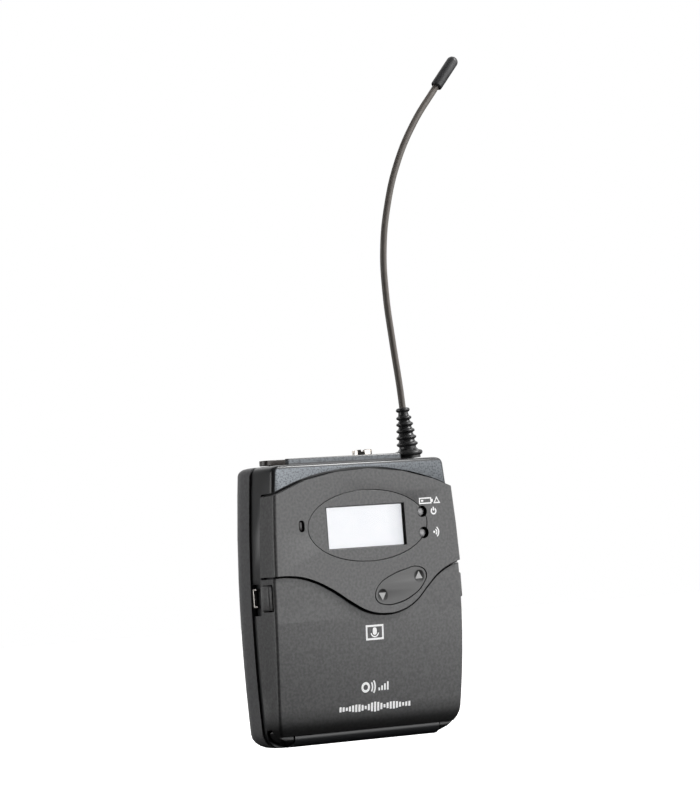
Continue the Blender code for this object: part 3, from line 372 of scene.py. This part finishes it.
def make_print():
    """White ink with a painted glow, so that it reads bright in the shade."""
    made = surface("white_print", (0.93, 0.93, 0.93), 0.5, 0.25, 0.004, 0.05, coarse=0.4)
    shader = made.node_tree.nodes["Principled BSDF"]
    # Painted light: the ink glows a little though it is no lamp.
    shader.inputs["Emission Color"].default_value = (1, 1, 1, 1)
    shader.inputs["Emission Strength"].default_value = 0.16
    return made


def make_window():
    """Clear plastic with a faint haze."""
    made, tree, shader = new_material("window_clear")
    shader.inputs["Transmission Weight"].default_value = 1.0
    shader.inputs["IOR"].default_value = 1.2
    haze = noise(tree, 2 * MM)
    shade(tree, haze, (0.97, 0.98, 0.98), (1, 1, 1), shader.inputs["Base Color"])
    tree.links.new(spread(tree, haze, 0.0, 0.02), shader.inputs["Roughness"])
    return made


def make_lcd():
    """The pale face of the display, with a painted glow in place of the studio light that the
    window pane keeps from it, greyer towards its right end.
    """
    made, tree, shader = new_material("lcd_face")
    cloud = noise(tree, 9 * MM, 1.0)
    end = spread(tree, places(tree)[0], 1.0, 0.0, 8 * MM, 13.5 * MM)
    shade(tree, cloud, (0.09, 0.09, 0.1), (0.11, 0.11, 0.11), shader.inputs["Base Color"])
    # Painted light: the face's emission stands in for the studio light on it.
    shade(tree, end, (0.6, 0.61, 0.64), (0.76, 0.765, 0.79), shader.inputs["Emission Color"], 0, 1)
    shader.inputs["Emission Strength"].default_value = 1.0
    shader.inputs["Roughness"].default_value = 0.5
    return made


def make_brushed(name, colour, rough, along):
    """Metal with fine lines along one axis."""
    made, tree, shader = new_material(name)
    shader.inputs["Metallic"].default_value = 1.0
    place = add(tree, "ShaderNodeTexCoord")
    scale = [8000.0, 8000.0, 8000.0]
    scale[along] = 250.0
    stretch = add(tree, "ShaderNodeMapping", {"Scale": scale})
    lines = add(tree, "ShaderNodeTexNoise", {"Scale": 1.0, "Detail": 2.0})
    tree.links.new(place.outputs["Object"], stretch.inputs["Vector"])
    tree.links.new(stretch.outputs["Vector"], lines.inputs["Vector"])
    source = lines.outputs["Fac"]
    shade(tree, source, tone(colour, 0.85), tone(colour, 1.1), shader.inputs["Base Color"])
    tree.links.new(spread(tree, source, rough * 0.8, rough * 1.3), shader.inputs["Roughness"])
    relief(tree, shader, source, 0.004 * MM, 0.4)
    return made


def make_cell_wrap():
    """A printed sleeve: blue, with a copper band at the end that has the nub."""
    made, tree, shader = new_material("cell_wrap")
    fine = noise(tree, 1.5 * MM)
    x, y, z = places(tree)
    upper = add_math(tree, "GREATER_THAN", z, BETWEEN_CELLS_Z)
    way = spread(tree, upper, 1.0, -1.0, 0, 1)
    along = add_math(tree, "MULTIPLY", x, way)
    band = spread(tree, along, 0.0, 1.0, 12 * MM, 12.1 * MM)
    shade(tree, band, WRAP_BLUE, WRAP_COPPER, shader.inputs["Base Color"], 0, 1)
    tree.links.new(spread(tree, fine, 0.26, 0.32), shader.inputs["Roughness"])
    relief(tree, shader, fine, 0.002 * MM, 0.05)
    return made


def make_board():
    """Green solder mask over faint copper tracks."""
    made, tree, shader = new_material("board_mask")
    place = add(tree, "ShaderNodeTexCoord")
    tracks = add(tree, "ShaderNodeTexBrick", {"Scale": 400.0, "Mortar Size": 0.03})
    tracks.inputs["Color1"].default_value = (0.012, 0.10, 0.045, 1)
    tracks.inputs["Color2"].default_value = (0.015, 0.12, 0.05, 1)
    tracks.inputs["Mortar"].default_value = (0.03, 0.2, 0.09, 1)
    tree.links.new(place.outputs["Object"], tracks.inputs["Vector"])
    tree.links.new(tracks.outputs["Color"], shader.inputs["Base Color"])
    fine = noise(tree, 1 * MM)
    tree.links.new(spread(tree, fine, 0.25, 0.4), shader.inputs["Roughness"])
    return made


MATERIALS = {
    "shell": make_front_plastic_with_painted_shade(),
    "back": surface("back_plastic", (0.10, 0.10, 0.104), 0.5, 0.5, 0.02, 0.12, coarse=0.8),
    "frame": make_frame_paint(),
    "rocker": make_rocker_plastic(),
    "black": surface("black_plastic", (0.02, 0.02, 0.021), 0.38, 0.6, 0.006, 0.1),
    "slider": surface("slider_plastic", (0.05, 0.042, 0.038), 0.35, 1.2, 0.002, 0.15, coat=0.15),
    "rubber": surface("aerial_rubber", (0.03, 0.03, 0.031), 0.4, 0.7, 0.003, 0.2, coat=0.15),
    "mat": surface("keypad_rubber", (0.02, 0.02, 0.02), 0.55, 0.5, 0.01, 0.1),
    "sleeve": surface("whip_sleeve", (0.16, 0.142, 0.126), 0.5, 0.7, 0.006, 0.08),
    "nickel": surface("nickel_plate", (0.74, 0.70, 0.66), 0.16, 1.0, 0.002, 0.05, metal=1.0),
    "steel": make_brushed("steel_wire", (0.42, 0.42, 0.43), 0.28, 2),
    "can": make_brushed("shield_steel", (0.62, 0.62, 0.62), 0.3, 0),
    "brass": surface("brass", (0.7, 0.5, 0.2), 0.3, 0.8, 0.003, 0.08, metal=1.0),
    "window": make_window(),
    "lcd": make_lcd(),
    "light_guide": surface("light_guide", (0.8, 0.83, 0.82), 0.3, 2.0, 0.002, 0.03),
    "lamp": surface("lamp_lens", (0.42, 0.42, 0.43), 0.22, 0.8, 0.002, 0.06, coat=0.3),
    "ir": surface("ir_lens", (0.012, 0.009, 0.011), 0.25, 0.8, 0.002, 0.1),
    "print": make_print(),
    "grey_print": surface("grey_print", (0.5, 0.5, 0.5), 0.5, 0.25, 0.004, 0.05, coarse=0.4),
    "tip": surface("tip_rubber", (0.05, 0.05, 0.052), 0.45, 0.5, 0.008, 0.15),
    # Black for the sheets of painted shade and shadow set in gaps and holes.
    "shadow": surface("painted_shadow_sheet", (0.006, 0.006, 0.006), 0.8, 0.5, 0.004, 0.1, specular=0.1),
    "plate": surface("type_plate", (0.16, 0.16, 0.165), 0.42, 0.3, 0.006, 0.06),
    "board": make_board(),
    "cell": make_cell_wrap(),
}


# ---------------------------------------------------------------- mesh helpers

def link(obj):
    bpy.context.scene.collection.objects.link(obj)
    return obj


def dress(obj, look, body):
    """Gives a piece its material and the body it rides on."""
    obj.data.materials.clear()
    obj.data.materials.append(MATERIALS[look])
    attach(obj, body)
    return obj


def mesh_object(name, shape, smooth=True):
    bmesh.ops.recalc_face_normals(shape, faces=shape.faces)
    mesh = bpy.data.meshes.new(name)
    shape.to_mesh(mesh)
    shape.free()
    if smooth:
        mesh.shade_smooth()
        mesh.set_sharp_from_angle(angle=math.radians(35))
    return link(bpy.data.objects.new(name, mesh))


def skin(node, look, width=0.2, segments=3, angle=28, share=None):
    """A copy of a CAD node with rounded edges, which stands for it. Where share is given, it
    says for a point how much of the width an edge there gets."""
    shape = bmesh.new()
    shape.from_mesh(NODES[node].data)
    bmesh.ops.remove_doubles(shape, verts=shape.verts, dist=0.0005 * MM)
    bmesh.ops.dissolve_limit(
        shape, angle_limit=math.radians(0.3), verts=shape.verts, edges=shape.edges,
    )
    weight = shape.edges.layers.float.new("bevel_weight_edge")
    for edge in shape.edges:
        if edge.calc_face_angle(0) > math.radians(angle):
            middle = (edge.verts[0].co + edge.verts[1].co) / 2
            edge[weight] = share(middle) if share else 1.0
    piece = mesh_object(f"{node}_skin", shape)
    step = piece.modifiers.new("edges", "BEVEL")
    step.width = width * MM
    step.segments = segments
    step.limit_method = "WEIGHT"
    step.use_clamp_overlap = True
    step.harden_normals = True
    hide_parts(node)
    return dress(piece, look, BODY_OF[node])


def lathe(name, profile, place, closed=False, steps=56):
    """A profile of (radius, height) pairs in millimetres, turned about Z. A closed profile
    makes a ring, an open one a solid with flat ends."""
    shape = bmesh.new()
    rings = []
    for radius, height in profile:
        ring = []
        for step in range(steps):
            turn = 2 * math.pi * step / steps
            point = (radius * MM * math.cos(turn), radius * MM * math.sin(turn), height * MM)
            ring.append(shape.verts.new(point))
        rings.append(ring)
    pairs = list(zip(rings, rings[1:]))
    if closed:
        pairs.append((rings[-1], rings[0]))
    for low, high in pairs:
        for i in range(steps):
            j = (i + 1) % steps
            shape.faces.new((low[i], low[j], high[j], high[i]))
    if not closed:
        shape.faces.new(list(reversed(rings[0])))
        shape.faces.new(rings[-1])
    bmesh.ops.transform(shape, matrix=place, verts=shape.verts)
    return mesh_object(name, shape)


def wire(name, points, radius, look, node):
    """A round wire through points, which stands for a CAD node."""
    data = bpy.data.curves.new(f"{node}_{name}", "CURVE")
    data.dimensions = "3D"
    data.bevel_depth = radius
    data.bevel_resolution = 6
    data.resolution_u = 10
    data.use_fill_caps = True
    spline = data.splines.new("BEZIER")
    spline.bezier_points.add(len(points) - 1)
    for point, place in zip(spline.bezier_points, points):
        point.co = place
        point.handle_left_type = point.handle_right_type = "AUTO"
    piece = link(bpy.data.objects.new(f"{node}_{name}", data))
    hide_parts(node)
    return dress(piece, look, BODY_OF[node])


def prism(shape, outline, front, back, hole=None):
    """Adds to a shape a plate between two depths: an outline of (x, z) pairs in millimetres,
    or the band between it and a hole with as many points. A depth is a function of (x, z)."""
    loops = []
    for points in (outline, hole) if hole else (outline,):
        for depth in (front, back):
            loops.append([shape.verts.new((x * MM, depth(x, z), z * MM)) for x, z in points])
    count = len(outline)
    for i in range(count):
        j = (i + 1) % count
        if hole:
            for first, second in ((0, 1), (2, 3), (0, 2), (1, 3)):
                one, two = loops[first], loops[second]
                shape.faces.new((one[i], one[j], two[j], two[i]))
        else:
            one, two = loops
            shape.faces.new((one[i], one[j], two[j], two[i]))
    if not hole:
        shape.faces.new(loops[0])
        shape.faces.new(loops[1])


def flat(depth):
    """A depth that is the same everywhere, for a prism's front or back."""
    return lambda x, z: depth


def rectangle(x, z):
    return [(x[0], z[0]), (x[1], z[0]), (x[1], z[1]), (x[0], z[1])]


def arc(centre, radius, start, end, steps=12):
    """Points on a circle, between two angles in degrees."""
    points = []
    for step in range(steps + 1):
        turn = math.radians(start + (end - start) * step / steps)
        points.append((centre[0] + radius * math.cos(turn), centre[1] + radius * math.sin(turn)))
    return points


def arch(centre, radius, width, start, end):
    """A curved stroke of a width along a circle."""
    outer = arc(centre, radius + width / 2, start, end)
    return outer + arc(centre, radius - width / 2, end, start)


def marks(name, outlines, look, body, face, proud=0.02):
    """Printed marks a little proud of a face. Each outline is a list of points, or a pair of
    an outline and a hole; a mark's face follows the depth face gives for a height."""
    shape = bmesh.new()

    def front(x, z):
        return face(z * MM) - proud * MM

    def back(x, z):
        return face(z * MM) + 0.04 * MM

    for outline in outlines:
        if isinstance(outline, tuple):
            prism(shape, outline[0], front, back, outline[1])
        else:
            prism(shape, outline, front, back)
    return dress(mesh_object(name, shape, smooth=False), look, body)


# ---------------------------------------------------------------- housing, cover and keys

# The line between the display panel and the battery cover, left to right, as (x, z) in
# millimetres, and how far out the black strip of painted shadow in the gap along it reaches
SPLIT_POINTS = [
    (-34, 48.2), (-27.5, 48.2), (-21, 47.0), (-13.5, 43.7), (-7, 39.7), (-1.5, 36.9),
    (4.6, 35.8), (10.5, 36.5), (15.5, 38.9), (20, 42.9), (24.5, 46.5), (29, 48.6), (34, 49.8),
]
SPLIT_SHADOW_END_X = 32.4

# Places on the front as (x, z) in millimetres; the infrared window's is measured from the
# bezel's centre, and the display's depth is in metres
LAMPS = {"status_lamp_power": (19.9, 64.0), "status_lamp_signal": (20.0, 57.9)}
BEZEL_CENTRE = (0.45, 61)
BEZEL_REACH = (23.2, 12.4)
IR_LENS_ASIDE = -22.9
LCD_X, LCD_Z = (-13.55, 13.35), (55.0, 66.6)
LCD_Y = -10.6 * MM
WARNING_MARK = (25.3, 66.1)
POWER_MARK = (23.9, 63.9)
SIGNAL_MARK = (23.6, 57.9)
MICROPHONE_MARK = (1.13, 30.55)
WAVE_MARK = (-2.35, 15.15)
LEVEL_MARK = (1.0, 9.45)

# The lamps' domes in millimetres; the heights are depths from the middle towards the front
LENS_RADIUS = 1.2
LENS_SHOULDER = 10.85
LENS_RISE = 0.35


def cover_face(z):
    """The depth of the battery cover's face at a height."""
    return COVER_Y + COVER_BEND * (max(COVER_BEND_Z - z, 0) / COVER_BEND_Z) ** 2


def panel_face(z):
    return PANEL_Y


def panel_share(point):
    """Rounds the display panel's outer edges fully, and those around the bezel and around the
    infrared window only a little."""
    x, z = point.x / MM - BEZEL_CENTRE[0], point.z / MM - BEZEL_CENTRE[1]
    by_bezel = (x / BEZEL_REACH[0]) ** 2 + (z / BEZEL_REACH[1]) ** 2 < 1
    by_ir_lens = abs(x - IR_LENS_ASIDE) < 1.6 and abs(z) < 3
    return 0.3 if by_bezel or by_ir_lens else 1.0


def frame_share(point):
    """Rounds the frame's edges fully around its top and brow, and less below them."""
    return 1.0 if point.z > 66 * MM else 0.6


def make_housing():
    """The outer CAD nodes again with rounded edges; the widths are in millimetres."""
    skin("back_shell", "back", 0.3)
    skin("chassis_frame", "frame", 0.35, share=frame_share)
    skin("display_panel", "shell", 0.42, share=panel_share)
    skin("display_bezel", "shell", 0.12)
    skin("battery_cover", "shell", 0.3)
    skin("rocker_button", "rocker", 0.3)
    skin("mute_slider", "slider", 0.5, 4)
    skin("jack_ring_nut", "nickel", 0.12)
    skin("jack_socket", "nickel", 0.1)
    skin("type_plate", "plate", 0.08)
    for word in ("left", "right"):
        skin(f"cover_catch_{word}", "shell", 0.2)
        skin(f"charging_contact_{word}", "nickel", 0.15)
    for number in range(1, 5):
        skin(f"case_screw_{number}", "can", 0.08, 2)


def make_split_painted_shadow():
    """A black strip of painted shadow in the gap between the display panel and the battery cover.
    """
    data = bpy.data.curves.new("split_line", "CURVE")
    data.resolution_u = 8
    spline = data.splines.new("BEZIER")
    spline.bezier_points.add(len(SPLIT_POINTS) - 1)
    last = len(SPLIT_POINTS) - 1
    for index, (point, (x, z)) in enumerate(zip(spline.bezier_points, SPLIT_POINTS)):
        point.co = (x, z, 0)
        kind = "AUTO" if 0 < index < last else "VECTOR"
        point.handle_left_type = point.handle_right_type = kind
    guide = link(bpy.data.objects.new("split_line", data))
    bpy.context.view_layer.update()
    line = [vert.co.copy() for vert in guide.to_mesh().vertices if abs(vert.co.x) < SPLIT_SHADOW_END_X]
    guide.to_mesh_clear()
    bpy.data.objects.remove(guide, do_unlink=True)
    lower = [(point.x, point.y - 0.55) for point in line]
    upper = [(point.x, point.y - 0.05) for point in reversed(line)]
    shape = bmesh.new()
    # Painted shadow: a black strip set a little behind the cover's face, along the gap.
    prism(shape, lower + upper, flat(COVER_Y + 0.5 * MM), flat(COVER_Y + 1.6 * MM))
    bmesh.ops.triangulate(shape, faces=[face for face in shape.faces if len(face.verts) > 4])
    dress(mesh_object("split_painted_shadow", shape), "shadow", "housing")


def around_face(margin):
    """The outline of the display's face, wider by a margin in millimetres on every side."""
    x = (LCD_X[0] - margin, LCD_X[1] + margin)
    return rectangle(x, (LCD_Z[0] - margin, LCD_Z[1] + margin))


def make_lamp(node, x, z):
    """A domed lens in place of the CAD's plain rod, and a black cup of painted shade around it,
    where the hole's wall lies in shade.
    """
    place = Matrix.Translation((x * MM, 0, z * MM)) @ Matrix.Rotation(math.pi / 2, 4, "X")
    dome = [(LENS_RADIUS, 7.2), (LENS_RADIUS, LENS_SHOULDER)]
    for step in range(1, 9):
        turn = math.radians(90 - 10 * step)
        rise = LENS_RISE * math.cos(turn)
        dome.append((LENS_RADIUS * math.sin(turn), LENS_SHOULDER + rise))
    lens = lathe(f"{node}_lens", dome, place, steps=40)
    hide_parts(node)
    dress(lens, "lamp", BODY_OF[node])
    # Painted shade: a black sleeve lines the lens's hole.
    cup = [(1.62, 11.9), (1.62, 10.2), (1.24, 10.2), (1.24, 10.75), (1.5, 10.75), (1.57, 11.9)]
    painted_well_shade = lathe(f"{node}_well", cup, place, closed=True, steps=40)
    dress(painted_well_shade, "shadow", "housing")


def make_display():
    """The window's pane, the display behind it and a black sleeve of painted shade between the
    two.
    """
    shape = bmesh.new()
    prism(shape, around_face(0.07), flat(PANEL_Y + 0.5 * MM), flat(PANEL_Y + 1.3 * MM))
    glass = mesh_object("display_window_pane", shape, smooth=False)
    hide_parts("display_window")
    dress(glass, "window", BODY_OF["display_window"])
    shape = bmesh.new()
    board = rectangle((-16.5, 16.5), (53.2, 68.8))
    prism(shape, board, flat(-9.8 * MM), flat(-8.6 * MM))
    prism(shape, around_face(0), flat(LCD_Y), flat(-9.75 * MM))
    face = mesh_object("lcd_module_face", shape, smooth=False)
    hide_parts("lcd_module")
    dress(face, "lcd", BODY_OF["lcd_module"])
    skin("ir_lens", "ir", 0.3)
    shape = bmesh.new()
    # Painted shade: a black sleeve lines the window's opening, where its walls lie in shade.
    painted_shade_front, painted_shade_back = flat(PANEL_Y + 0.1 * MM), flat(-9.85 * MM)
    prism(shape, around_face(0.2), painted_shade_front, painted_shade_back, around_face(0.05))
    dress(mesh_object("window_painted_shade", shape, smooth=False), "shadow", "housing")
    for node, (x, z) in LAMPS.items():
        make_lamp(node, x, z)


def make_arrows():
    """The triangles in the rocker's two dimples."""
    for word, (x, z), way in (("down", DIMPLES[0], -1), ("up", DIMPLES[1], 1)):
        x, z = x / MM, z / MM + 0.28 * way
        triangle = [(x - 1.25, z - 1.0 * way), (x + 1.25, z - 1.0 * way), (x, z + 1.15 * way)]
        shape = bmesh.new()
        prism(shape, triangle, flat(PANEL_Y + 0.22 * MM), flat(PANEL_Y + 0.55 * MM))
        arrow = mesh_object(f"arrow_{word}", shape, smooth=False)
        dress(arrow, "grey_print", "rocker")


def ring(centre, outer, inner, steps=12):
    """A full ring as a pair of outlines."""
    return arc(centre, outer, 0, 360, steps), arc(centre, inner, 0, 360, steps)


def box_line(x, z, width):
    """The four sides of a box as a pair of outlines, drawn with a line of a width."""
    inner_x = (x[0] + width, x[1] - width)
    return rectangle(x, z), rectangle(inner_x, (z[0] + width, z[1] - width))


def make_lamp_marks():
    """An empty battery and a warning triangle, a power sign and a signal sign."""
    x, z = WARNING_MARK
    warning = [(x - 1.2, z), (x + 1.2, z), (x, z + 2.0)]
    inner = [(x - 0.65, z + 0.35), (x + 0.65, z + 0.35), (x, z + 1.4)]
    battery = [
        box_line((19.0, 23.4), (66.1, 67.9), 0.35),
        rectangle((23.4, 23.9), (66.6, 67.4)),
        rectangle((19.7, 20.5), (66.75, 67.25)),
        (warning, inner),
    ]
    marks("battery_mark", battery, "print", "housing", panel_face)
    x, z = POWER_MARK
    power = [
        arch(POWER_MARK, 0.82, 0.45, 125, 415),
        rectangle((x - 0.23, x + 0.23), (z + 0.1, z + 1.2)),
    ]
    marks("power_mark", power, "print", "housing", panel_face)
    signal = [arc(SIGNAL_MARK, 0.35, 0, 330)]
    for radius in (0.9, 1.6):
        signal.append(arch(SIGNAL_MARK, radius, 0.4, -55, 55))
    marks("signal_mark", signal, "print", "housing", panel_face)


def make_cover_marks():
    """A framed microphone, a sound with rising bars, and a row of levels."""
    x, z = MICROPHONE_MARK
    microphone = [
        box_line((x - 3.1, x + 3.1), (z - 2.15, z + 2.15), 0.55),
        arc((x, z + 0.7), 0.7, 0, 180) + arc((x, z - 0.05), 0.7, 180, 360),
        arch((x, z + 0.05), 1.3, 0.36, 190, 350),
    ]
    marks("microphone_mark", microphone, "print", "battery_cover", cover_face)
    x, z = WAVE_MARK
    wave = [ring(WAVE_MARK, 1.5, 0.8, 24)]
    for radius in (2.4, 3.3):
        wave.append(arch(WAVE_MARK, radius, 0.5, -32, 32))
    foot = z - 1.2
    for step in range(4):
        middle = x + 4.75 + step
        top = foot + 0.8 + 0.53 * step
        wave.append(rectangle((middle - 0.28, middle + 0.28), (foot, top)))
    marks("wave_mark", wave, "print", "battery_cover", cover_face)
    x, z = LEVEL_MARK
    bars = []
    for step in range(-11, 12):
        tall = 0.45 + 0.95 * abs(math.cos(0.52 * step)) * (1 - abs(step) / 16)
        middle = x + 1.1 * step
        bars.append(rectangle((middle - 0.35, middle + 0.35), (z - tall, z + tall)))
    marks("level_mark", bars, "print", "battery_cover", cover_face)


# The aerial in millimetres: its boot's ribs as height and radius, the whip's route in the plane
# Y = 0, and the route of half the belt clip's wire
AERIAL_X, AERIAL_BASE_Z, AERIAL_LEAN = 25.4, 80.6, -4
BOOT_RIBS = ((3.4, 3.12), (5.35, 2.92), (7.3, 2.7), (9.2, 2.48), (11.05, 2.24))
RIB_ROUND = 0.46
WHIP_ROUTE = [
    (24.5, 93.6), (24.3, 96.5), (24.0, 100.5), (22.6, 114), (21.5, 128), (21.8, 140.5),
    (24.4, 153.5), (29.3, 166.5), (36.3, 178), (45.3, 188.65),
]
WHIP_RADIUS = 0.98
TIP_BASE, TIP_LEAN, TIP_RADIUS = (45.35, 188.7), 42, 1.7
CLIP_ROUTE = [
    (5.8, 13.7, 68), (9, 13.7, 68), (11.1, 13.7, 68), (12.2, 13.7, 68), (13.2, 14.1, 67.4),
    (13.4, 15.9, 65.6), (13, 19, 61), (12, 19, 44), (11.4, 18.6, 24), (10.5, 16.8, 16.5),
    (8, 16.4, 13.4), (4, 16.6, 12.2),
]
CLIP_RADIUS = 1.1


def rounded(radius, height, reach, start, end, steps):
    """The stretch of a turned profile that runs round a bead."""
    return [(radius + x, height + z) for x, z in arc((0, 0), reach, start, end, steps)]


def make_boot():
    """The ribbed sleeve at the whip's foot, from its flange to its cap."""
    profile = [(3.4, -0.8), (3.4, 0.0), (3.9, 0.0)]
    profile += rounded(3.45, 0.75, 0.7, -80, 80, 10)
    profile += [(3.0, 1.62), (2.5, 2.2)]
    for height, radius in BOOT_RIBS:
        core = radius - 0.66
        profile += [(core, height - 0.72), (core + 0.1, height - 0.6)]
        profile += rounded(radius - RIB_ROUND, height, RIB_ROUND, -80, 80, 8)
        profile += [(core + 0.1, height + 0.6), (core, height + 0.72)]
    profile += [(1.45, 12.4)]
    profile += rounded(1.4, 13.35, 0.63, -85, 85, 10)
    profile += [(1.0, 14.1)]
    place = Matrix.Translation((AERIAL_X * MM, 0, AERIAL_BASE_Z * MM))
    place @= Matrix.Rotation(math.radians(AERIAL_LEAN), 4, "Y")
    boot = lathe("aerial_boot_form", profile, place)
    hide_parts("aerial_boot")
    dress(boot, "rubber", BODY_OF["aerial_boot"])


def make_whip():
    """The whip in its sleeve, and the rounded cap on its end."""
    points = [(x * MM, 0, z * MM) for x, z in WHIP_ROUTE]
    wire("form", points, WHIP_RADIUS * MM, "sleeve", "aerial_whip")
    cap = [(1.05, 0.0), (1.45, 0.05), (1.65, 0.25), (TIP_RADIUS, 0.5)]
    cap += rounded(0, 9.9, TIP_RADIUS, 0, 84, 12)
    place = Matrix.Translation((TIP_BASE[0] * MM, 0, TIP_BASE[1] * MM))
    place @= Matrix.Rotation(math.radians(TIP_LEAN), 4, "Y")
    tip = lathe("aerial_tip_form", cap, place)
    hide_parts("aerial_tip")
    dress(tip, "tip", BODY_OF["aerial_tip"])


def make_clip():
    """The belt clip's bent wire, the same on both sides."""
    route = CLIP_ROUTE + [(-x, y, z) for x, y, z in reversed(CLIP_ROUTE)]
    points = [(x * MM, y * MM, z * MM) for x, y, z in route]
    wire("form", points, CLIP_RADIUS * MM, "steel", "belt_clip")


make_housing()
make_split_painted_shadow()
make_display()
make_arrows()
make_lamp_marks()
make_cover_marks()
make_boot()
make_whip()
make_clip()


# ---------------------------------------------------------------- inside parts, kept as they are

KEPT = {
    "main_board": "board", "rf_shield_can": "can", "audio_shield_can": "can",
    "board_connector": "black", "lcd_backlight": "light_guide", "keypad_mat": "mat",
    "tact_switch_down": "black", "tact_switch_power": "black", "tact_switch_set": "black",
    "tact_switch_up": "black", "mute_switch_body": "can", "aerial_socket": "brass",
    "battery_tray": "black", "battery_cell_lower": "cell", "battery_cell_upper": "cell",
    "contact_plate_lower": "nickel", "contact_plate_upper": "nickel",
    "contact_spring_lower": "nickel", "contact_spring_upper": "nickel",
    "spring_plate_lower": "nickel", "spring_plate_upper": "nickel",
    "hinge_pin_left": "steel", "hinge_pin_right": "steel",
    "set_button": "black", "power_button": "black",
}
for node, look in KEPT.items():
    NODES[node].data.materials.clear()
    NODES[node].data.materials.append(MATERIALS[look])

bpy.context.view_layer.update()
